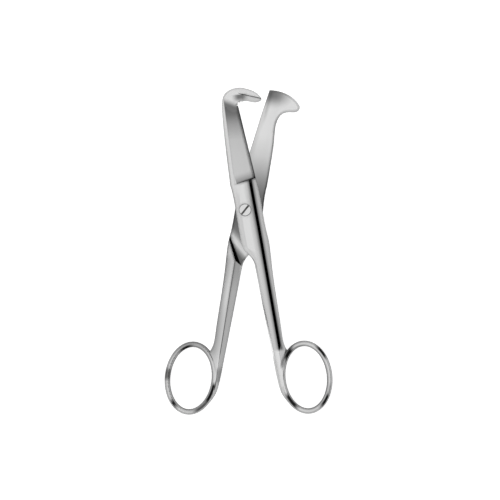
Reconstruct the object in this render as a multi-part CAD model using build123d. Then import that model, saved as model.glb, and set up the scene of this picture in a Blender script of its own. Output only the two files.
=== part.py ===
"""Umbilical cord scissors: a hooked half and a crescent-ended half on a slotted pivot screw."""
from build123d import *
from math import cos, radians, sin, tan
import os

# Driving dimensions, in millimetres and degrees.
# Each half is drawn by itself, with the scissors closed and its outer face up: X runs across the
# blades, Y from the pivot to the tips, and Z is the height above the plane where the halves slide.
REST_OPENING = 14.5         # angle between the closed scissors and the way they lie
MIDLINE = 1.7               # from the pivot to the line midway between the closed handles
SLIDE_GAP = 0.05            # between the two sliding faces

# Joint plate
PLATE = 2.7                 # from the sliding plane to the flat round the screw
JOINT_BACK = 4.5            # from the pivot to the straight edge of the hook half
CRESCENT_JOINT_BACK = 5.3   # the same in the crescent half
JOINT_FRONT = 8.3           # from the pivot to the outer edge
HEEL_Y = -18.3              # where the straight edge turns into the heel
SHOULDER_OUTER = -14.7      # where the shoulder meets the outer edge
SHOULDER_INNER = -24.3      # where it meets the inner edge
SHOULDER_RUN = 1.7          # how far it slopes back over the depth of the shank

# Shank
CROTCH_X = 1.3              # inner edge at its upper end
CROTCH_Y = -27.0
SHANK_WIDTH = 8.2           # at its upper end
SHANK_DEPTH = 2.4           # from the sliding plane to the crown and to the lower ridge
CROWN_RADIUS = 11.0         # rounding of the outer face, across
CROWN_AT_PIVOT = 0.35       # how far the crown stands above its own edges there
LAND = 1.4                  # polished land along the outer face
LAND_END = -66.8            # where the land begins to taper off, beside the top of the ring
LAND_FADE = 2.8             # length over which it does so
LAND_FADED = 0.05           # width left from there on
LAND_TILT = 16.0
LAND_INSET = 3.9            # from the land to the outer edge of the shank, at the crotch
LAND_SHIFT = 2.6            # how much further out the land is beside the ring
LAND_ROOT_X = 3.55          # from the pivot to the land, at the root of the blade
OUTER_TILT = 25.5           # of the face between the land and the rim
OUTER_CROWN = 0.08          # how far that face is rounded
RIM_FOOT = -1.0             # lower edge of the outer rim
RIM = 0.1                   # least height of that rim, where the face above it falls lowest
RIDGE_X = 5.2               # from the pivot to the ridge underneath, at the crotch
RIDGE_SHIFT = 1.9           # how much further out the ridge is beside the ring
RIDGE_ROUND = 0.6           # rounded to this distance on each side
EDGE = 0.6                  # thickness of the inner edge
EDGE_LIFT = 1.0             # inner edge above the sliding plane, where the closed shanks lap
EDGE_SLOPE = 0.8            # width of the slope between the inner edge and the crown

# Blades
BLADE_ROOT = 12.5           # where the ground face begins
STEP_SLANT = 2.2            # how much further out it begins at the cutting edge
BLADE_TIP = 58.8            # from the pivot to the top of the hook and of the crescent
BLADE_BACK = 5.6            # from the pivot to the back edge
ROOT_THICKNESS = 2.6        # back of the blade at its root
RUN_OUT = 0.2               # from the hook's corner to where the ground face begins to rise
WHEEL_RADIUS = 1.5          # of the edge of the grinding wheel, at the foot of that rise
RISE_ANGLE = 26.0           # of the rise itself
TIP_THICKNESS = 1.5         # back of the blade at its tip
BACK_BEVEL = 2.2            # width of the sloping strip along the back
BACK_DROP = 0.6             # how far that strip falls to the back edge
EDGE_ROOT_X = 7.0           # from the pivot to the root of the cutting edge
EDGE_THICKNESS = 0.35       # left by the ground face at the cutting edge
CUTTING_LAND = 0.08         # left by the narrow cutting bevel
CUTTING_WIDTH = 0.9         # width of that bevel
HOLLOW_RADIUS = 60.0        # hollow grinding of the inner face
HOLLOW_DEPTH = 0.15         # at the tip, fading to nothing at the root
HOOK_CORNER_X = 3.0         # cutting edge where the hook begins
HOOK_REACH = 14.5           # from the pivot to the nose of the hook, across
HOOK_MOUTH = 7.0            # from the top of the hook to its inner edge
HOOK_RIM = 3.2              # width of the rim left along the outer edge of the hook
RIM_FLANK = 0.55            # height of the flank under that rim
ELBOW_X = 4.8               # where the ground face of the hook begins to rise at the elbow
CRESCENT_EDGE_X = -0.9      # upper end of the crescent blade's cutting edge
CRESCENT_REACH = 16.5       # from the pivot to the nose of the crescent, across
CRESCENT_HEIGHT = 8.6       # from the top of the crescent to its lower corner

# Finger ring
RING_X = 19.05              # centre of the ring
RING_Y = -83.65
HOLE_WIDTH = 19.8
HOLE_LENGTH = 29.9
RING_WIDTH = 2.75           # of the wire, seen from above
RING_HEIGHT = 2.8
RING_LEAN = 1.1             # its long axis leans away from the other ring
TAPER_START = -86.0         # where the shank begins to run out along the ring
TAPER = 0.09                # how fast it grows thinner there, on each side

# Pivot screw
SCREW_HEAD = 5.7
HEAD_RIM = 0.3              # straight rim above the cone
HEAD_CONE = 1.1
SCREW_BEARING = 3.4         # plain part, in the hook half
SCREW_END = 2.8             # fixed in the crescent half
SCREW_CLEARANCE = 0.04      # round the head, its cone and the bearing
SCREW_CHAMFER = 0.15        # of the head's edge and of the mouth of its seat
SLOT_WIDTH = 0.8
SLOT_DEPTH = 0.7
SLOT_ANGLE = 51.0

SLIDE = SLIDE_GAP / 2       # height of a half's own sliding face
STEP_LEFT = (BACK_BEVEL - BLADE_BACK, BLADE_ROOT)
STEP_RIGHT = (EDGE_ROOT_X, BLADE_ROOT + STEP_SLANT)
SPINE = (*STEP_LEFT, ROOT_THICKNESS)
INNER_END_X = RING_X - HOLE_WIDTH / 2 - RING_WIDTH - 1.25
SHANK_END = 1.26            # end of the bar, as a share of the way from the crotch to the ring's middle
FAR = 100.0                 # reach of the cutting tools, well past the part


def blade_height(y):
    """Height of the back of a blade at a distance from the pivot."""
    slope = (TIP_THICKNESS - ROOT_THICKNESS) / (BLADE_TIP - BLADE_ROOT)
    return ROOT_THICKNESS + slope * (y - BLADE_ROOT)


def face_of(*edges):
    """Face inside a closed chain of edges."""
    return make_face(Curve() + list(edges))


def above(p, q, r):
    """Everything above the plane through three points."""
    p, q, r = Vector(*p), Vector(*q), Vector(*r)
    normal = (q - p).cross(r - p).normalized()
    if normal.Z < 0:
        normal = normal * -1
    return extrude(Plane(origin=p, z_dir=normal) * Rectangle(2 * FAR, 2 * FAR), FAR)


def step_lines():
    """Foot of the ground face, where the blade ends and the joint plate begins."""
    return [Line(STEP_RIGHT, STEP_LEFT), Line(STEP_LEFT, (-BLADE_BACK, BLADE_ROOT))]


def handle_plan(joint_back):
    """Outline of the joint plate and shank, from the foot of the blade into the ring."""
    crotch = (CROTCH_X, CROTCH_Y)
    heel = (CROTCH_X - 4.3, HEEL_Y)
    inner_end = (INNER_END_X, RING_Y)
    ring_side, ring_top = RING_X - HOLE_WIDTH / 2, RING_Y + HOLE_LENGTH / 2
    outer_end = (ring_side + 2.3, ring_top - 0.6)
    under_ring = (ring_side + 3.3, RING_Y - HOLE_LENGTH / 2 + 0.4)
    shank_x = CROTCH_X + SHANK_WIDTH
    back = Spline(
        (-BLADE_BACK, BLADE_ROOT), (-joint_back, -1.0), (0.5 - joint_back, HEEL_Y + 6.0), heel,
        (CROTCH_X - 1.2, CROTCH_Y + 3.8), crotch)
    inner = Spline(
        crotch, inner_end, (INNER_END_X + 1.15, RING_Y - 6.2), under_ring,
        tangents=[Vector(*inner_end) - Vector(*crotch), Vector(1, -0.8)])
    outer = Spline(
        outer_end, (ring_side + 1.2, ring_top + 3.0), (shank_x + 0.6, ring_top + 8.0),
        (shank_x + 0.3, (CROTCH_Y + ring_top) / 2), (shank_x, CROTCH_Y),
        (JOINT_FRONT + 1.1, SHOULDER_OUTER - 0.5), (JOINT_FRONT + 0.6, SHOULDER_OUTER + 3.5),
        (JOINT_FRONT, -1.5), STEP_RIGHT)
    return face_of(back, inner, Line(under_ring, outer_end), outer, *step_lines())


def station(y, edge, foot, shoulder, crown, land, right, ridge, land_width=LAND):
    """Section of the forged bar: inner edge, crown, land, outer face, rim, and ridge underneath."""
    land_end = (land[0] + land_width, land[1] - land_width * tan(radians(LAND_TILT)))
    width = right - land_end[0]
    rim_top = (right, land_end[1] - width * tan(radians(OUTER_TILT)))
    outer = (right - width / 2, (land_end[1] + rim_top[1]) / 2 + OUTER_CROWN)
    rim_foot = (right, min(RIM_FOOT, rim_top[1] - RIM))
    corner = Vector(*ridge)
    before = corner + (Vector(*rim_foot) - corner).normalized() * RIDGE_ROUND
    after = corner + (Vector(*foot) - corner).normalized() * RIDGE_ROUND
    section = face_of(
        Line(edge, shoulder), ThreePointArc(shoulder, crown, land), Line(land, land_end),
        ThreePointArc(land_end, outer, rim_top), Line(rim_top, rim_foot), Line(rim_foot, before),
        ThreePointArc(before, (before + after) / 4 + corner / 2, after), Line(after, foot),
        Line(foot, edge))
    return Plane(origin=(0, y, 0), x_dir=(1, 0, 0), z_dir=(0, -1, 0)) * section


def joint_station(y, back, shoulder_x, crown, land_x, right):
    """Station of the joint plate, full depth underneath for the shoulder to be cut from."""
    edge_z = ROOT_THICKNESS - BACK_DROP
    shoulder = (shoulder_x, ROOT_THICKNESS - crown / 3)
    top = ((shoulder_x + land_x) / 2, ROOT_THICKNESS - crown / 3 + crown)
    return station(
        y, (-back, edge_z), (-back, -SHANK_DEPTH), shoulder, top, (land_x, SHANK_DEPTH), right,
        (RIDGE_X, -SHANK_DEPTH - 0.1))


def shank_station(t, inner, full_depth=False, land_width=LAND):
    """Station of the shank, from t = 0 at the crotch to t = 1 beside the middle of the ring."""
    depth = SHANK_DEPTH + t * (RING_HEIGHT / 2 - SHANK_DEPTH)
    land_x = CROTCH_X + SHANK_WIDTH - LAND_INSET + t * LAND_SHIFT
    lift = EDGE_LIFT * (1 - t)
    half_width = (land_x - inner - EDGE_SLOPE) / 2
    rise = half_width ** 2 / (2 * CROWN_RADIUS)
    shoulder = (land_x - 2 * half_width, depth - rise)
    crown = (land_x - half_width, depth)
    foot_z = -SHANK_DEPTH if full_depth else lift - EDGE / 2
    right = CROTCH_X + SHANK_WIDTH + 0.2 + t * LAND_SHIFT
    return station(
        CROTCH_Y + t * (RING_Y - CROTCH_Y), (inner - 0.1, lift + EDGE / 2), (inner - 0.1, foot_z),
        shoulder, crown, (land_x, depth - rise), right, (RIDGE_X + t * RIDGE_SHIFT, -depth),
        land_width)


def handle_bar():
    """Forged bar from which the joint plate and the shank are cut."""
    root = [
        joint_station(y, BLADE_BACK, STEP_LEFT[0], 0.05, LAND_ROOT_X, EDGE_ROOT_X + 0.4)
        for y in (BLADE_ROOT + STEP_SLANT + 1, BLADE_ROOT)]
    crown = CROWN_AT_PIVOT
    joint = [
        joint_station(4.0, BLADE_BACK, -3.2, crown, 4.0, JOINT_FRONT + 0.2),
        joint_station(-10.0, BLADE_BACK, -3.0, crown, 4.8, JOINT_FRONT + 1.0),
        joint_station(HEEL_Y, CRESCENT_JOINT_BACK, -2.4, crown, 5.2, CROTCH_X + SHANK_WIDTH + 0.2)]
    above_crotch = (SHOULDER_INNER - CROTCH_Y) / (RING_Y - CROTCH_Y)
    inner = CROTCH_X - 0.9
    plate = loft([*root, *joint, shank_station(above_crotch, inner, full_depth=True)], ruled=True)
    fade_t, faded_t = [(y - CROTCH_Y) / (RING_Y - CROTCH_Y) for y in (LAND_END, LAND_END - LAND_FADE)]
    stations = [(fade_t, LAND), (faded_t, LAND_FADED), (SHANK_END, LAND_FADED)]
    shank = loft([
        shank_station(above_crotch, inner), shank_station(0, CROTCH_X),
        *[shank_station(t, CROTCH_X + t * (INNER_END_X - CROTCH_X), land_width=width)
          for t, width in stations]], ruled=True)
    return plate + shank


def finger_ring():
    """Ring of oval wire on an oval path, and the space inside the middle of its wire."""
    across = (HOLE_WIDTH + RING_WIDTH) / 2
    along = (HOLE_LENGTH + RING_WIDTH) / 2
    wire_plane = Plane(origin=(across, 0, 0), x_dir=(1, 0, 0), z_dir=(0, 1, 0))
    wire = wire_plane * Ellipse(RING_WIDTH / 2, RING_HEIGHT / 2)
    ring = sweep(wire, path=Edge.make_ellipse(across, along))
    inside = extrude(Ellipse(across, along), FAR / 2, both=True)
    place = Pos(RING_X, RING_Y, 0) * Rot(0, 0, -RING_LEAN)
    return place * ring, place * inside


def shoulder_cutter():
    """Room for the other half: all that lies below the sliding face, up to the sloping shoulder."""
    start = Vector(JOINT_FRONT + 0.1, SHOULDER_OUTER)
    end = Vector(CROTCH_X + 2.0, SHOULDER_INNER)
    along = (start - end).normalized()
    away = Vector(along.Y, -along.X, 0)
    run = SHOULDER_RUN / SHANK_DEPTH * FAR
    section = make_face(Polyline(
        (0, SLIDE), (-2 * FAR, SLIDE), (-2 * FAR, -FAR), (run, -FAR), (0, SLIDE)))
    return extrude(Plane(origin=end, x_dir=away, z_dir=along * -1) * section, FAR, both=True)


def handle(joint_back):
    """Joint plate, shank and finger ring of one half."""
    ring, inside = finger_ring()
    body = handle_bar() & extrude(handle_plan(joint_back), FAR / 2, both=True)
    body -= above((0, 0, PLATE), (1, 0, PLATE), (0, 1, PLATE))
    body -= shoulder_cutter()
    thin = RING_HEIGHT / 2
    run_out = above((0, TAPER_START, thin), (1, TAPER_START, thin), (0, TAPER_START + 1, thin + TAPER))
    body -= run_out + mirror(run_out, Plane.XY)
    return (body - inside) + ring


def blade(back, edges, edge_tip, bevel_end):
    """Blank of a blade with its back bevel and its hollow inner face."""
    body = Pos(0, 0, SLIDE) * extrude(face_of(back, *edges, *step_lines()), PLATE)
    root, tip = blade_height(BLADE_ROOT), blade_height(BLADE_TIP)
    body -= above((0, BLADE_ROOT, root), (1, BLADE_ROOT, root), (0, BLADE_TIP, tip))
    bevel = above(
        (-BLADE_BACK, BLADE_ROOT, ROOT_THICKNESS - BACK_DROP), SPINE,
        (*bevel_end, blade_height(bevel_end[1])))
    body -= bevel & Pos(-FAR, bevel_end[1] - FAR) * Box(2 * FAR, 2 * FAR, FAR)
    axis_root = Vector((EDGE_ROOT_X - BLADE_BACK) / 2, BLADE_ROOT, SLIDE - HOLLOW_RADIUS)
    axis_tip = Vector((edge_tip[0] - BLADE_BACK) / 2, edge_tip[1], SLIDE + HOLLOW_DEPTH - HOLLOW_RADIUS)
    hollow = Plane(origin=axis_root, z_dir=axis_tip - axis_root) * Cylinder(
        HOLLOW_RADIUS, FAR, align=(Align.CENTER, Align.CENTER, Align.MIN))
    return body - hollow


def cutting_bevel(edge_tip, run=FAR):
    """What the narrow bevel along the cutting edge takes off, rising after a run."""
    slope = (ROOT_THICKNESS - EDGE_THICKNESS) / (STEP_RIGHT[0] - STEP_LEFT[0])
    side = (STEP_RIGHT[0] - CUTTING_WIDTH, STEP_RIGHT[1], EDGE_THICKNESS + slope * CUTTING_WIDTH)
    return wheel((*STEP_RIGHT, CUTTING_LAND), (*edge_tip, CUTTING_LAND), side, run)


def wheel(start, end, side, run):
    """What a grinding wheel clears above the plane through three points, rising after a run."""
    start, end, side = Vector(*start), Vector(*end), Vector(*side)
    along = (end - start).normalized()
    normal = along.cross(side - start).normalized()
    if normal.Z < 0:
        normal = normal * -1
    middle, foot = [
        (run + WHEEL_RADIUS * sin(angle), WHEEL_RADIUS * (1 - cos(angle)))
        for angle in (radians(RISE_ANGLE / 2), radians(RISE_ANGLE))]
    top = (foot[0] + FAR, foot[1] + FAR * tan(radians(RISE_ANGLE)))
    rest = Polyline(foot, top, (-FAR, top[1]), (-FAR, 0), (run, 0))
    profile = face_of(ThreePointArc((run, 0), middle, foot), rest)
    return extrude(Plane(origin=start, x_dir=along, z_dir=along.cross(normal)) * profile, FAR, both=True)


def hook_blade():
    """Blade that ends in a hook, with a rim standing along the hook's outer edge."""
    mouth_y = BLADE_TIP - HOOK_MOUTH
    corner = Vector(HOOK_CORNER_X, mouth_y - 1.4)
    nose = Vector(HOOK_REACH, BLADE_TIP - 6.5)
    back = Spline(
        (-BLADE_BACK, BLADE_ROOT), (-BLADE_BACK, BLADE_ROOT + 15), (-BLADE_BACK + 0.2, BLADE_TIP - 19),
        (-BLADE_BACK + 0.6, BLADE_TIP - 9.8), (-BLADE_BACK + 2.8, BLADE_TIP - 2.3), (3.2, BLADE_TIP),
        (HOOK_REACH - 5.5, BLADE_TIP - 1.4), (HOOK_REACH - 1.4, BLADE_TIP - 4.2), nose)
    under = Spline(
        nose, (HOOK_REACH - 2.0, mouth_y - 1.0), (HOOK_REACH - 4.9, mouth_y - 0.6),
        (HOOK_CORNER_X + 2.6, mouth_y + 0.25), (HOOK_CORNER_X + 0.4, mouth_y), corner,
        tangents=[back % 1, Vector(0.1, -1)])
    edge_tip = (corner.X, corner.Y)
    body = blade(back, [under, Line(corner, STEP_RIGHT)], edge_tip, (STEP_LEFT[0], BLADE_TIP))
    rim_y = BLADE_TIP - HOOK_RIM
    rim_z = TIP_THICKNESS - RIM_FLANK
    elbow, nose_end = (ELBOW_X, rim_y), (HOOK_REACH, rim_y - 3.5)
    rim_run = (Vector(*elbow) - Vector(*nose_end)).length
    edge = (HOOK_CORNER_X + 2.5, mouth_y, EDGE_THICKNESS)
    run = (corner - Vector(*STEP_RIGHT)).length - RUN_OUT
    face = wheel((*STEP_RIGHT, EDGE_THICKNESS), (*edge_tip, EDGE_THICKNESS), SPINE, run)
    mouth = wheel((*nose_end, rim_z), (*elbow, rim_z), edge, rim_run)
    flank = above((*elbow, rim_z), (*nose_end, rim_z), (elbow[0] + 0.1, elbow[1] + 0.4, rim_z + 1))
    quarter = Box(FAR, FAR, FAR, align=(Align.MIN, Align.MIN, Align.CENTER))
    hook = Pos(ELBOW_X, corner.Y) * quarter
    past_corner = Pos(-FAR / 2, corner.Y) * quarter
    ground = (face + cutting_bevel(edge_tip, run)) - hook
    return body - ground - (mouth & flank & past_corner)


def crescent_blade():
    """Blade that ends in a crescent, ground over the whole of its outer face."""
    edge_tip = (CRESCENT_EDGE_X, BLADE_TIP)
    low = BLADE_TIP - CRESCENT_HEIGHT
    back = Spline(
        (-BLADE_BACK, BLADE_ROOT), (-BLADE_BACK - 0.4, BLADE_ROOT + 9), (-BLADE_BACK - 0.6, low - 14),
        (-BLADE_BACK - 1.0, low - 5.4), (-BLADE_BACK - 3.1, low - 1.9), (-BLADE_BACK - 6.4, low - 0.7),
        (-CRESCENT_REACH + 0.6, low + 0.4), (-CRESCENT_REACH, low + 1.5),
        (-CRESCENT_REACH + 1.8, BLADE_TIP - 3.9), (-CRESCENT_REACH + 6.1, BLADE_TIP - 1.2),
        (-4.6, BLADE_TIP + 0.1), edge_tip)
    edge = Spline(edge_tip, (1.85, BLADE_TIP - 13.15), (4.65, BLADE_TIP - 29.1), STEP_RIGHT)
    body = blade(back, [edge], edge_tip, (-BLADE_BACK - 0.8, low - 5.2))
    ground = above(SPINE, (*STEP_RIGHT, EDGE_THICKNESS), (*edge_tip, EDGE_THICKNESS))
    return body - ground - cutting_bevel(edge_tip)


def screw_profile(clearance, chamfer):
    """Half section of the pivot screw, or of its seat, which has a clearance and opens at the top."""
    head, bearing = SCREW_HEAD / 2 + clearance, SCREW_BEARING / 2 + clearance
    cone_top = PLATE - HEAD_RIM - clearance
    return make_face(Polyline(
        (0, -PLATE), (SCREW_END / 2, -PLATE), (SCREW_END / 2, -SLIDE), (bearing, -SLIDE),
        (bearing, cone_top - HEAD_CONE), (head, cone_top), (head, PLATE - abs(chamfer)),
        (head + chamfer, PLATE), (0, PLATE), (0, -PLATE)))


def pivot_screw():
    """Slotted screw: flat head, plain bearing, and an end fixed in the crescent half, cut off flush."""
    screw = revolve(Plane.XZ * screw_profile(0, -SCREW_CHAMFER), Axis.Z)
    slot = Pos(0, 0, PLATE) * Rot(0, 0, SLOT_ANGLE) * Box(2 * SCREW_HEAD, SLOT_WIDTH, 2 * SLOT_DEPTH)
    return screw - slot


def hook_half():
    """Upper half: hooked blade, handle, and the countersunk bore for the screw."""
    seat = revolve(Plane.XZ * screw_profile(SCREW_CLEARANCE, SCREW_CHAMFER), Axis.Z)
    return handle(JOINT_BACK) + hook_blade() - seat


def crescent_half():
    """Lower half: crescent blade and handle, turned over onto its outer face, and the screw's seat."""
    turned = Rotation(0, 180, 0) * (handle(CRESCENT_JOINT_BACK) + crescent_blade())
    return Pos(2 * MIDLINE, 0, 0) * turned - Cylinder(SCREW_END / 2, 4 * PLATE)


def main():
    os.makedirs("parts", exist_ok=True)
    lift = Pos(0, 0, PLATE)
    pieces = {
        "hook_half": lift * Rot(0, 0, REST_OPENING / 2) * hook_half(),
        "crescent_half": lift * Rot(0, 0, -REST_OPENING / 2) * crescent_half(),
        "pivot_screw": lift * pivot_screw(),
    }
    for name, piece in pieces.items():
        export_step(piece, f"parts/{name}.step")


main()
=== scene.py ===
"""Umbilical cord scissors on a white table, seen from straight above."""
import math

import bpy
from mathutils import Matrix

MM = 0.001

# Camera: a long lens straight above the table.
VIEW_WIDTH = 241 * MM
VIEW_CENTRE = (2.36 * MM, -19.28 * MM)
CAMERA_HEIGHT = 0.9
SENSOR = 36.0

# Table: half its width in metres, its colour, and how bright it shows to the camera and in reflections.
TABLE_HALF = 3.0
TABLE_COLOUR = (0.85, 0.85, 0.85, 1)
TABLE_ROUGHNESS = 0.9
TABLE_GLOW = 0.7

# How the halves lie: each is turned this far from the line midway between the blades. A half's own
# frame has X across it and Y along it from the pivot, with its outer face up, all in millimetres.
HALF_ANGLE = math.radians(7.25)
MIDLINE = 1.7
SLIDING_Z = 2.7
PIVOT = (0.0, 0.0)

# Lines in the frame of a half: a point on each, and the direction away from it.
STEP_LEFT = (-3.4, 12.5)
STEP_AWAY = (-0.212, 1.0)
LAND_ROOT = (3.55, 12.5)
LAND_AWAY = (1.0, 0.05)
RIDGE_ROOT = (5.2, -27.0)
RIDGE_AWAY = (1.0, 0.0335)
SHOULDER_END = (3.3, -24.3)
SHOULDER_AWAY = (0.883, -0.469)
ELBOW_CORNER = (2.4, 51.0)
ELBOW_AWAY = (-0.63, 0.77)
GROUND_AWAY = (0.447, 0.894)
FLOOR_AWAY = (-0.9, 1.0)

# More places and sizes in the frame of a half. The shoulder's wall rises this steeply from its line.
LAND_WIDTH = 1.4
LAND_END = -68.0
SHOULDER_STEEPNESS = 1.412
# Centre of the painted shade on the inner face of the crescent blade, and its stretch across.
CRESCENT_SHADE = (-3.0, 57.0)
CRESCENT_SHADE_STRETCH = 1.5
ELBOW_CENTRE = (1.6, 52.6)
ELBOW_RIM = 0.6

# Fades in the frame of a half, each from where it starts to where it is full. The elbow's are beyond
# its inner corner, to the left, to the top, to the right and round its centre.
ELBOW_INSIDE = (-0.3, 0.1)
ELBOW_LEFT = (2.6, 2.2)
ELBOW_TOP = (52.2, 52.5)
ELBOW_RIGHT = (5.6, 5.0)
ELBOW_ROUND = (5.2, 4.7)
GROUND_SIDE_FADE = (-0.25, 0.25)
GROUND_STEP_FADE = (-0.1, 0.1)
GROUND_END_FADE = (44.6, 48.0)
STEP_CORNER_ACROSS = (-2.5, 2)
BEHIND_STEP = (0, -0.1)
LAND_END_FADE = (LAND_END - 2, LAND_END)
LAND_START_FADE = (13, 12)
MOUTH_ACROSS = [(0.0, 3.8), (9.0, 5.0)]
MOUTH_ALONG = [(51.4, 54.2), (55.9, 55.1)]
SHANK_HEIGHT = (0.1, 0.3)
SHANK_ALONG = [(-20, -26), (-76, -68)]
OUTER_FACE = (0.2, 3.5)
INNER_FACE = (0, -0.3)
INNER_FACE_ALONG = (-42, -28)
BEFORE_PIVOT = (-1, 1)
BEHIND_PIVOT = (1, -1)
ON_WALL = (0.1, 0.05)
ABOVE_FLOOR = (-0.02, 0.02)
CUTTING_SIDE = (-4, -2)
CRESCENT_SIDE = (-1, 1)
INNER_SIDE = (6, 5)
BLADE_FADE = (5, 15)
HANDLE_FADE = (-18, -32)

# Bands in the frame of a half: from one place to another, with this soft a margin.
STEP_CORNER_DEPTH = (-0.2, 0.5, 0.15)
RIDGE_BAND = (-0.3, 0.3, 0.15)
BLADE_FACE_HEIGHT = (-0.3, -0.015, 0.005)
JOINT_FLOOR_HEIGHT = (-0.04, -0.01, 0.005)
HANDLE_BAND = (-72, -26, 4)
LAND_BAND = (-0.1, LAND_WIDTH + 0.1, 0.05)

# Changes of painted shade: from one place to another, and from one share to another.
STEP_SHADE = (0, 5, 0.5, 1.0)
CRESCENT_SHADE_CHANGE = (0.5, 7.5, 0.28, 1.0)
SLOT_SHADE = (2.4, 2.6, 0.12, 1.0)
HOLE_SHADE = (3.3, 4.0, 0.4, 1.0)

# How steep a face is by the upward part of its normal, steep faces getting painted shade, how far up it
# faces, and how the cosine between the rounded and the flat normal tells an edge, where the colour gets
# painted shade and reflection.
STEEP = (0.8, 0.5)
UPWARD = (0.5, 0.75)
ROUNDED = (0.99, 0.97)
SHARP = (0.98, 0.88)

# Painted shading as tones along the ground face of the hook blade, where it stands for reflection, along
# the inner face of the crescent blade, and along the joint floor of the crescent half, where it stands
# for shade: (distance from the pivot, share of the full tone).
GROUND_TONES = [
    (12, 0.92), (26, 0.92), (34, 0.87), (41.7, 0.56), (46.3, 0.3), (48.6, 0.24), (60, 0.24)]
INNER_TONES = [
    (0, 0.2), (7.6, 0.22), (12.4, 0.32), (16.3, 0.44), (20.2, 0.6), (26.9, 0.83), (37, 1.0),
    (60, 1.0)]
FLOOR_TONES = [
    (-30, 0.2), (-25.5, 0.2), (-23.5, 0.45), (-21.8, 0.9), (-20, 0.85), (-18, 0.45), (-16, 0.25),
    (-13, 0.2)]

# Painted dark reflection, as tones over the distance across from the inner side of the polished land, on
# the land and the crown beside it; the land also reflects the real dark gap of the studio.
LAND_TONES = [
    (-3.2, 1.0), (-1.3, 0.75), (-0.5, 0.45), (0, 0.2), (LAND_WIDTH, 0.2),
    (LAND_WIDTH + 0.5, 0.5), (LAND_WIDTH + 1.2, 0.92), (LAND_WIDTH + 1.6, 1.0)]

# Tones of single places, as shares of the full tone, each of them painted shade and reflection as marked
# below, and the full tone itself with its streaks, which is the steel's own colour and grain.
# Painted shade in the corner of the step.
STEP_CORNER_TONE = 0.08
# Painted shade at the mouth of the hook.
MOUTH_TONE = 0.25
# Painted shading of the shank's two faces, by how each faces the light.
OUTER_FACE_TONE = 0.69
INNER_FACE_TONE = 0.8
# Painted dark reflection along the shank's ridge.
RIDGE_TONE = 0.4
# Painted shade on the shoulder's wall.
SHOULDER_TONE = 0.02
STEEL = 0.85
STREAKS = 0.025

# Roughness of the joint plates, the satin blades, the polished handles and the land.
JOINT_ROUGHNESS = 0.2
BLADE_ROUGHNESS = 0.15
HANDLE_ROUGHNESS = 0.1
LAND_ROUGHNESS = 0.04

# Finger ring: its centre, and half its width and length along the middle of the wire. Each painted dark
# reflection on it runs from an angle to another, and from one share of that ellipse to another, and has
# a tone.
RING_CENTRE = (19.05, -83.65)
RING_ACROSS = 11.275
RING_ALONG = 16.325
SOFT_ANGLE = 7
SOFT_SHARE = 0.025
HOOK_RING_PAINTED_REFLECTIONS = [
    (108, 136, 0.93, 1.06, 0.01), (132, 150, 0.96, 1.13, 0.5), (86, 106, 0.92, 0.97, 0.6),
    (38, 64, 1.0, 1.1, 0.02), (-146, -114, 0.94, 1.06, 0.02), (-70, -42, 0.96, 1.06, 0.02),
    (-44, -24, 0.97, 1.06, 0.65)]
CRESCENT_RING_PAINTED_REFLECTIONS = [
    (62, 84, 0.9, 1.0, 0.02), (-10, 16, 0.9, 1.15, 0.3), (-70, -55, 0.94, 1.05, 0.02),
    (-174, -128, 0.95, 1.06, 0.01), (-130, -104, 0.96, 1.05, 0.2), (116, 156, 1.02, 1.05, 0.7),
    (154, 190, 1.07, 1.4, 0.62), (-190, -178, 1.07, 1.4, 0.62)]

# How dark the painted shade and reflection along the edges is: over the distance from the pivot, on the
# screw, and at most.
HOOK_BACK_EDGE = [
    (-90, 0.2), (-70, 0.05), (-30, 0.05), (-20, 0.2), (-5, 0.7), (8, 1), (25, 0.9), (39, 0.6),
    (48, 0.3), (53, 0.3), (57, 0.6), (60, 0.6)]
HOOK_CUTTING_EDGE = [(-90, 0.5), (12, 0.6), (13, 1), (44, 1), (49, 0.5), (52, 0.3), (60, 0.4)]
CRESCENT_BACK_EDGE = [(-90, 0.5), (-20, 0.6), (0, 1), (46, 1), (52, 0.5), (60, 0.5)]
CRESCENT_CUTTING_EDGE = [
    (-90, 0.5), (-50, 0.6), (-35, 0.9), (-20, 1), (-5, 1), (2, 0.15), (60, 0.15)]
SCREW_EDGE = 0.5
DARKEST_EDGE = 0.9

# How far in from the edges the painted darkening reaches, and the radius to which they are rounded.
HOOK_MARGIN = 1.9
CRESCENT_MARGIN = 2.5
SCREW_MARGIN = 0.3
EDGE_RADIUS = 0.3
BEVEL_SAMPLES = 4

# Grain of the steel: how fine it is across, along and in depth.
GRAIN = (6000, 120, 120)

# Left side of the ground face, and middle of the crescent half, over the distance from the pivot.
GROUND_SIDE = [(12, -2.2), (14, -2.6), (18, -3.3), (26, -3.6), (60, -3.65)]
CRESCENT_MIDDLE = [(-90, 7), (-20, 5), (0, 1), (60, -1)]

# Level of the studio over the angle from straight up, on the right and elsewhere. The right side lies
# between these two angles round the object.
RIGHT_LEVELS = [
    (0, 0.85), (10, 0.85), (22, 0.82), (26, 0.8), (29.2, 0), (37.2, 0), (40, 0.7), (62, 0.48),
    (90, 0.48)]
LEFT_LEVELS = [
    (0, 0.85), (6, 0.83), (18, 0.64), (23, 0.68), (27, 0.8), (31, 0.8), (34, 0.72), (60, 0.5),
    (72, 0.4), (90, 0.38)]
RIGHT_SIDE = (-60, 60)
RIGHT_SOFT = 15

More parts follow.
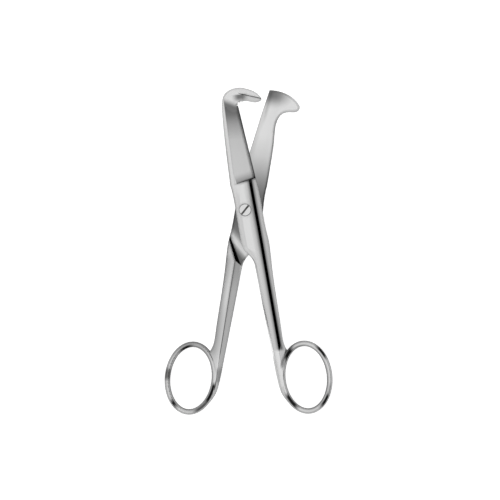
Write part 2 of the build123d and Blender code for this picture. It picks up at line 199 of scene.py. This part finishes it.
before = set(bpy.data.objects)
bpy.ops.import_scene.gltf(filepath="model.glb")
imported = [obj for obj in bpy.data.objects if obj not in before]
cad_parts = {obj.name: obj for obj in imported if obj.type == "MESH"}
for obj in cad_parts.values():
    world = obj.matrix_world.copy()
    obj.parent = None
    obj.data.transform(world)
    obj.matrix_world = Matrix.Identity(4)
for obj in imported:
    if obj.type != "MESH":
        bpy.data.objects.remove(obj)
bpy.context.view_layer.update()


class Graph:
    """Short ways to add nodes to a node tree."""

    def __init__(self, tree):
        self.nodes = tree.nodes
        self.links = tree.links

    def plug(self, socket, value):
        if isinstance(value, bpy.types.NodeSocket):
            self.links.new(value, socket)
        else:
            socket.default_value = value

    def math(self, operation, *values):
        node = self.nodes.new("ShaderNodeMath")
        node.operation = operation
        for socket, value in zip(node.inputs, values):
            self.plug(socket, value)
        return node.outputs["Value"]

    def product(self, first, *others):
        for value in others:
            first = self.math("MULTIPLY", first, value)
        return first

    def ramp(self, value, low, high, start=0.0, end=1.0):
        """Smooth change from start to end while value goes from low to high."""
        node = self.nodes.new("ShaderNodeMapRange")
        node.interpolation_type = "SMOOTHSTEP"
        for name, number in zip(("From Min", "From Max", "To Min", "To Max"), (low, high, start, end)):
            node.inputs[name].default_value = number
        self.links.new(value, node.inputs["Value"])
        return node.outputs["Result"]

    def band(self, value, low, high, soft):
        """1 between low and high, and 0 outside, with soft margins."""
        rise = self.ramp(value, low - soft, low + soft)
        fall = self.ramp(value, high - soft, high + soft, 1.0, 0.0)
        return self.product(rise, fall)

    def mix(self, share, a, b):
        """a where share is 0 and b where it is 1."""
        change = self.math("SUBTRACT", b, a)
        return self.math("MULTIPLY_ADD", share, change, a)

    def mix_vectors(self, share, a, b):
        """Vector a where share is 0 and vector b where it is 1."""
        node = self.nodes.new("ShaderNodeMix")
        node.data_type = "VECTOR"
        sockets = {socket.identifier: socket for socket in node.inputs}
        for name, value in (("Factor_Float", share), ("A_Vector", a), ("B_Vector", b)):
            self.plug(sockets[name], value)
        return next(socket for socket in node.outputs if socket.identifier == "Result_Vector")

    def curve(self, value, points):
        """Straight lines through (value, result) points."""
        low, high = points[0][0], points[-1][0]
        least, most = [pick(result for place, result in points) for pick in (min, max)]
        node = self.nodes.new("ShaderNodeValToRGB")
        elements = node.color_ramp.elements
        while len(elements) < len(points):
            elements.new(0.5)
        for element, (place, result) in zip(elements, points):
            element.position = (place - low) / (high - low)
            grey = (result - least) / (most - least)
            element.color = (grey, grey, grey, 1)
        share = self.math("DIVIDE", self.math("SUBTRACT", value, low), high - low)
        self.links.new(share, node.inputs["Fac"])
        return self.math("MULTIPLY_ADD", node.outputs["Color"], most - least, least)


class Spot:
    """Place and normal of a shaded point in the frame of its half. side is -1 for the crescent half."""

    def __init__(self, graph, side):
        self.graph = graph
        place = graph.nodes.new("ShaderNodeTexCoord")
        self.vector = self.turn(place.outputs["Object"], side)
        x, y, z = self.split(self.vector)
        self.x = graph.math("MULTIPLY", x, side / MM)
        if side < 0:
            self.x = graph.math("ADD", self.x, 2 * MIDLINE)
        self.y = graph.math("MULTIPLY", y, 1 / MM)
        self.height = graph.math("MULTIPLY_ADD", z, 1 / MM, -SLIDING_Z)
        normal = self.split(self.turn(place.outputs["Normal"], side))
        self.steep = graph.ramp(graph.math("ABSOLUTE", normal[2]), *STEEP)
        self.upward = graph.ramp(normal[2], *UPWARD)

    def turn(self, vector, side):
        node = self.graph.nodes.new("ShaderNodeVectorRotate")
        node.rotation_type = "Z_AXIS"
        node.inputs["Angle"].default_value = -side * HALF_ANGLE
        self.graph.links.new(vector, node.inputs["Vector"])
        return node.outputs["Vector"]

    def split(self, vector):
        node = self.graph.nodes.new("ShaderNodeSeparateXYZ")
        self.graph.links.new(vector, node.inputs[0])
        return node.outputs

    def beyond(self, point, away):
        """How far the spot lies beyond the line through a point, in the direction away from it."""
        offset = -away[0] * point[0] - away[1] * point[1]
        along = self.graph.math("MULTIPLY_ADD", self.y, away[1], offset)
        return self.graph.math("MULTIPLY_ADD", self.x, away[0], along)

    def distance(self, point, stretch=1.0):
        """Distance from a point, shorter across by the stretch."""
        graph = self.graph
        aside = graph.math("DIVIDE", graph.math("SUBTRACT", self.x, point[0]), stretch)
        ahead = graph.math("SUBTRACT", self.y, point[1])
        squares = graph.math("ADD", graph.product(aside, aside), graph.product(ahead, ahead))
        return graph.math("SQRT", squares)


def grain(graph, vector):
    """Fine lengthwise grain, from -1 to 1."""
    stretch = graph.nodes.new("ShaderNodeMapping")
    stretch.inputs["Scale"].default_value = GRAIN
    graph.links.new(vector, stretch.inputs["Vector"])
    noise = graph.nodes.new("ShaderNodeTexNoise")
    noise.inputs["Scale"].default_value = 1.0
    noise.inputs["Detail"].default_value = 2.0
    graph.links.new(stretch.outputs["Vector"], noise.inputs["Vector"])
    return graph.math("MULTIPLY_ADD", noise.outputs["Fac"], 2.0, -1.0)


def from_land(spot):
    """Distance across from the inner side of the polished land."""
    return spot.beyond(LAND_ROOT, LAND_AWAY)


def painted_ring_reflections(graph, spot, tone, painted_reflections):
    """Painted dark reflections along the polished wire of the finger ring."""
    aside = graph.math("SUBTRACT", spot.x, RING_CENTRE[0])
    ahead = graph.math("SUBTRACT", spot.y, RING_CENTRE[1])
    angle = graph.math("MULTIPLY", graph.math("ARCTAN2", ahead, aside), 180 / math.pi)
    share = graph.math("DIVIDE", spot.distance(RING_CENTRE, RING_ACROSS / RING_ALONG), RING_ALONG)
    for start, end, inner, outer, level in painted_reflections:
        reflection = graph.product(
            graph.band(angle, start, end, SOFT_ANGLE), graph.band(share, inner, outer, SOFT_SHARE))
        tone = graph.mix(reflection, tone, level)
    return tone


def moved(fade, distance):
    return [place + distance for place in fade]


def elbow(graph, spot, rim):
    """1 over the elbow of the hook, from its inner corner outwards, apart from a rim of this width."""
    inside = graph.ramp(spot.beyond(ELBOW_CORNER, ELBOW_AWAY), *moved(ELBOW_INSIDE, rim))
    left = graph.ramp(spot.x, *moved(ELBOW_LEFT, -rim))
    top = graph.ramp(spot.y, *moved(ELBOW_TOP, rim))
    place = graph.math("MAXIMUM", graph.math("MAXIMUM", inside, left), top)
    near = graph.ramp(spot.distance(ELBOW_CENTRE), *ELBOW_ROUND)
    return graph.product(place, graph.ramp(spot.x, *ELBOW_RIGHT), near, spot.upward)


def hook_painted_light(graph, spot):
    """Painted light: the ground face darkens towards both its ends, and the crown towards the land;
    painted shade lies in the step's corner and at the hook's mouth, and painted dark reflections on the
    ring.
    """
    from_step = spot.beyond(STEP_LEFT, STEP_AWAY)
    from_side = graph.math("SUBTRACT", spot.x, graph.curve(spot.y, GROUND_SIDE))
    ground = graph.product(
        graph.ramp(from_side, *GROUND_SIDE_FADE), graph.ramp(from_step, *GROUND_STEP_FADE), spot.upward)
    along = graph.product(graph.curve(spot.y, GROUND_TONES), graph.ramp(from_step, *STEP_SHADE))
    along = graph.mix(graph.ramp(spot.beyond(PIVOT, GROUND_AWAY), *GROUND_END_FADE), along, 1.0)
    tone = graph.mix(ground, 1.0, along)
    corner = graph.product(
        graph.band(from_step, *STEP_CORNER_DEPTH), graph.ramp(spot.x, *STEP_CORNER_ACROSS))
    tone = graph.mix(corner, tone, STEP_CORNER_TONE)
    crown = graph.product(graph.ramp(from_step, *BEHIND_STEP), graph.ramp(spot.y, *LAND_END_FADE))
    tone = graph.mix(crown, tone, graph.curve(from_land(spot), LAND_TONES))
    tone = painted_ring_reflections(graph, spot, tone, HOOK_RING_PAINTED_REFLECTIONS)
    mouth = graph.product(
        *[graph.ramp(spot.x, *fade) for fade in MOUTH_ACROSS],
        *[graph.ramp(spot.y, *fade) for fade in MOUTH_ALONG])
    return graph.mix(mouth, tone, MOUTH_TONE)


def shank_painted_light(graph, spot, tone):
    """Painted shading: the two faces of the crescent half's shank differ by how they face the light, and
    the ridge between them is dark as a painted reflection.
    """
    from_ridge = spot.beyond(RIDGE_ROOT, RIDGE_AWAY)
    shank = graph.product(
        graph.ramp(spot.height, *SHANK_HEIGHT), *[graph.ramp(spot.y, *fade) for fade in SHANK_ALONG])
    outer = graph.product(shank, graph.ramp(from_ridge, *OUTER_FACE))
    tone = graph.mix(outer, tone, OUTER_FACE_TONE)
    inner = graph.product(
        shank, graph.ramp(from_ridge, *INNER_FACE), graph.ramp(spot.y, *INNER_FACE_ALONG))
    tone = graph.mix(inner, tone, INNER_FACE_TONE)
    ridge = graph.product(shank, graph.band(from_ridge, *RIDGE_BAND))
    return graph.mix(ridge, tone, RIDGE_TONE)


def crescent_painted_light(graph, spot):
    """Painted shade: the inner face and the joint floor run from light to dark, and the shoulder is
    dark; the shank and the ring get painted reflections too.
    """
    inner = graph.product(
        graph.band(spot.height, *BLADE_FACE_HEIGHT), graph.ramp(spot.y, *BEFORE_PIVOT))
    shade = graph.ramp(spot.distance(CRESCENT_SHADE, CRESCENT_SHADE_STRETCH), *CRESCENT_SHADE_CHANGE)
    tone = graph.mix(inner, 1.0, graph.product(graph.curve(spot.y, INNER_TONES), shade))
    floor = graph.product(
        graph.band(spot.height, *JOINT_FLOOR_HEIGHT), graph.ramp(spot.y, *BEHIND_PIVOT))
    tone = graph.mix(floor, tone, graph.curve(spot.beyond(PIVOT, FLOOR_AWAY), FLOOR_TONES))
    tone = shank_painted_light(graph, spot, tone)
    from_shoulder = spot.beyond(SHOULDER_END, SHOULDER_AWAY)
    over_wall = graph.math("MULTIPLY_ADD", from_shoulder, -SHOULDER_STEEPNESS, spot.height)
    on_wall = graph.ramp(graph.math("ABSOLUTE", over_wall), *ON_WALL)
    wall = graph.product(on_wall, graph.ramp(spot.height, *ABOVE_FLOOR))
    tone = graph.mix(wall, tone, SHOULDER_TONE)
    return painted_ring_reflections(graph, spot, tone, CRESCENT_RING_PAINTED_REFLECTIONS)


def screw_painted_shade(graph, spot):
    """Painted shade: the slot is dark below the flat of the head."""
    return graph.ramp(spot.height, *SLOT_SHADE)


def hook_painted_edges(graph, spot, sharp):
    """Dark edges and steep faces of the hook half as painted shade and reflection, but none over the
    elbow or down the inner side of the shank.
    """
    back = graph.curve(spot.y, HOOK_BACK_EDGE)
    cutting = graph.curve(spot.y, HOOK_CUTTING_EDGE)
    outline = graph.mix(graph.ramp(from_land(spot), *CUTTING_SIDE), back, cutting)
    outline = graph.product(outline, graph.ramp(spot.distance(PIVOT), *HOLE_SHADE))
    beside_elbow = graph.math("SUBTRACT", 1.0, elbow(graph, spot, ELBOW_RIM))
    inner_side = graph.product(graph.band(spot.y, *HANDLE_BAND), graph.ramp(spot.x, *INNER_SIDE))
    steep = graph.product(spot.steep, graph.ramp(inner_side, 0, 1, 1.0, 0.0))
    return graph.math("MAXIMUM", graph.product(sharp, beside_elbow, outline), steep)


def crescent_painted_edges(graph, spot, sharp):
    """Dark edges and steep faces of the crescent half as painted shade and reflection, most along the
    back of the blade.
    """
    back = graph.curve(spot.y, CRESCENT_BACK_EDGE)
    cutting = graph.curve(spot.y, CRESCENT_CUTTING_EDGE)
    from_middle = graph.math("SUBTRACT", spot.x, graph.curve(spot.y, CRESCENT_MIDDLE))
    outline = graph.mix(graph.ramp(from_middle, *CRESCENT_SIDE), back, cutting)
    return graph.math("MAXIMUM", graph.product(sharp, outline), spot.steep)


def screw_painted_edges(graph, spot, sharp):
    """Faint dark edges and dark steep faces of the screw as painted shade and reflection."""
    return graph.math("MAXIMUM", graph.product(sharp, SCREW_EDGE), spot.steep)


def rounding(graph, radius):
    """Normal as if every edge were rounded to this radius, the flat one, and the cosine between them."""
    bevel = graph.nodes.new("ShaderNodeBevel")
    bevel.samples = BEVEL_SAMPLES
    bevel.inputs["Radius"].default_value = radius * MM
    flat = graph.nodes.new("ShaderNodeNewGeometry")
    cosine = graph.nodes.new("ShaderNodeVectorMath")
    cosine.operation = "DOT_PRODUCT"
    graph.links.new(bevel.outputs["Normal"], cosine.inputs[0])
    graph.links.new(flat.outputs["Normal"], cosine.inputs[1])
    return bevel.outputs["Normal"], flat.outputs["Normal"], cosine.outputs["Value"]


def roughness(graph, spot):
    """Satin at the joint, smoother on the blades and handles, and polished on the land."""
    blade = graph.ramp(spot.y, *BLADE_FADE)
    handle = graph.ramp(spot.y, *HANDLE_FADE)
    rough = graph.mix(handle, graph.mix(blade, JOINT_ROUGHNESS, BLADE_ROUGHNESS), HANDLE_ROUGHNESS)
    land = graph.product(
        graph.band(from_land(spot), *LAND_BAND), graph.ramp(spot.y, *LAND_START_FADE),
        graph.ramp(spot.y, *LAND_END_FADE))
    return graph.mix(land, rough, LAND_ROUGHNESS)


def steel(name, side, painted_light_of, painted_edges_of, margin, level_at=None):
    """Stainless steel: satin blades, polished shanks and rings, with painted shade and reflections in
    its colour, darker along its edges.
    """
    material = bpy.data.materials.new(name)
    material.use_nodes = True
    graph = Graph(material.node_tree)
    shader = graph.nodes["Principled BSDF"]
    spot = Spot(graph, side)
    rounded, flat, cosine = rounding(graph, EDGE_RADIUS)
    normal = graph.mix_vectors(graph.ramp(cosine, *ROUNDED), flat, rounded)
    if level_at:
        normal = graph.mix_vectors(level_at(graph, spot, 0.0), normal, (0, 0, 1))
    sharp = graph.ramp(rounding(graph, margin)[2], *SHARP)
    lightness = graph.math("MULTIPLY_ADD", painted_edges_of(graph, spot, sharp), -DARKEST_EDGE, 1.0)
    streak = graph.math("MULTIPLY_ADD", grain(graph, spot.vector), STREAKS * STEEL, STEEL)
    tone = graph.product(painted_light_of(graph, spot), lightness, streak)
    colour = graph.nodes.new("ShaderNodeCombineColor")
    for channel in ("Red", "Green", "Blue"):
        graph.links.new(tone, colour.inputs[channel])
    graph.links.new(colour.outputs["Color"], shader.inputs["Base Color"])
    graph.links.new(roughness(graph, spot), shader.inputs["Roughness"])
    graph.links.new(normal, shader.inputs["Normal"])
    shader.inputs["Metallic"].default_value = 1.0
    return material


def build_world():
    """A bright studio with a dark gap between its soft boxes on the right."""
    world = bpy.data.worlds.new("studio")
    bpy.context.scene.world = world
    world.use_nodes = True
    graph = Graph(world.node_tree)
    background = graph.nodes["Background"]
    background.inputs["Color"].default_value = (1, 1, 1, 1)
    place = graph.nodes.new("ShaderNodeTexCoord")
    split = graph.nodes.new("ShaderNodeSeparateXYZ")
    graph.links.new(place.outputs["Generated"], split.inputs[0])
    x, y, z = split.outputs
    azimuth = graph.math("MULTIPLY", graph.math("ARCTAN2", y, x), 180 / math.pi)
    polar = graph.math("MULTIPLY", graph.math("ARCCOSINE", z), 180 / math.pi)
    right = graph.band(azimuth, *RIGHT_SIDE, RIGHT_SOFT)
    level = graph.mix(right, graph.curve(polar, LEFT_LEVELS), graph.curve(polar, RIGHT_LEVELS))
    graph.links.new(level, background.inputs["Strength"])


def build_floor():
    """White table, which shows white to the camera and in reflections, and keeps a soft shadow."""
    half = TABLE_HALF
    mesh = bpy.data.meshes.new("floor")
    corners = [(-half, -half, 0), (half, -half, 0), (half, half, 0), (-half, half, 0)]
    mesh.from_pydata(corners, [], [(0, 1, 2, 3)])
    floor = bpy.data.objects.new("floor", mesh)
    bpy.context.scene.collection.objects.link(floor)
    material = bpy.data.materials.new("white_table")
    material.use_nodes = True
    graph = Graph(material.node_tree)
    shader = graph.nodes["Principled BSDF"]
    shader.inputs["Base Color"].default_value = TABLE_COLOUR
    shader.inputs["Roughness"].default_value = TABLE_ROUGHNESS
    shader.inputs["Specular IOR Level"].default_value = 0.0
    shader.inputs["Emission Color"].default_value = (1, 1, 1, 1)
    path = graph.nodes.new("ShaderNodeLightPath")
    seen = graph.math("MAXIMUM", path.outputs["Is Camera Ray"], path.outputs["Is Glossy Ray"])
    seen = graph.math("MAXIMUM", seen, path.outputs["Is Transmission Ray"])
    graph.links.new(graph.math("MULTIPLY", seen, TABLE_GLOW), shader.inputs["Emission Strength"])
    mesh.materials.append(material)


def build_camera():
    """Camera straight above the table."""
    data = bpy.data.cameras.new("camera")
    data.sensor_width = SENSOR
    data.lens = SENSOR * CAMERA_HEIGHT / VIEW_WIDTH
    camera = bpy.data.objects.new("camera", data)
    camera.location = (*VIEW_CENTRE, CAMERA_HEIGHT + SLIDING_Z * MM)
    bpy.context.scene.collection.objects.link(camera)
    bpy.context.scene.camera = camera


steel_with_painted_light = {
    "hook_half": steel("hook_steel", 1, hook_painted_light, hook_painted_edges, HOOK_MARGIN, elbow),
    "crescent_half": steel("crescent_steel", -1, crescent_painted_light, crescent_painted_edges, CRESCENT_MARGIN),
    "pivot_screw": steel("screw_steel", 1, screw_painted_shade, screw_painted_edges, SCREW_MARGIN),
}
for name, material in steel_with_painted_light.items():
    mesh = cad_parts[name].data
    mesh.materials.clear()
    mesh.materials.append(material)

build_world()
build_floor()
build_camera()
bpy.context.scene.view_settings.view_transform = "Standard"
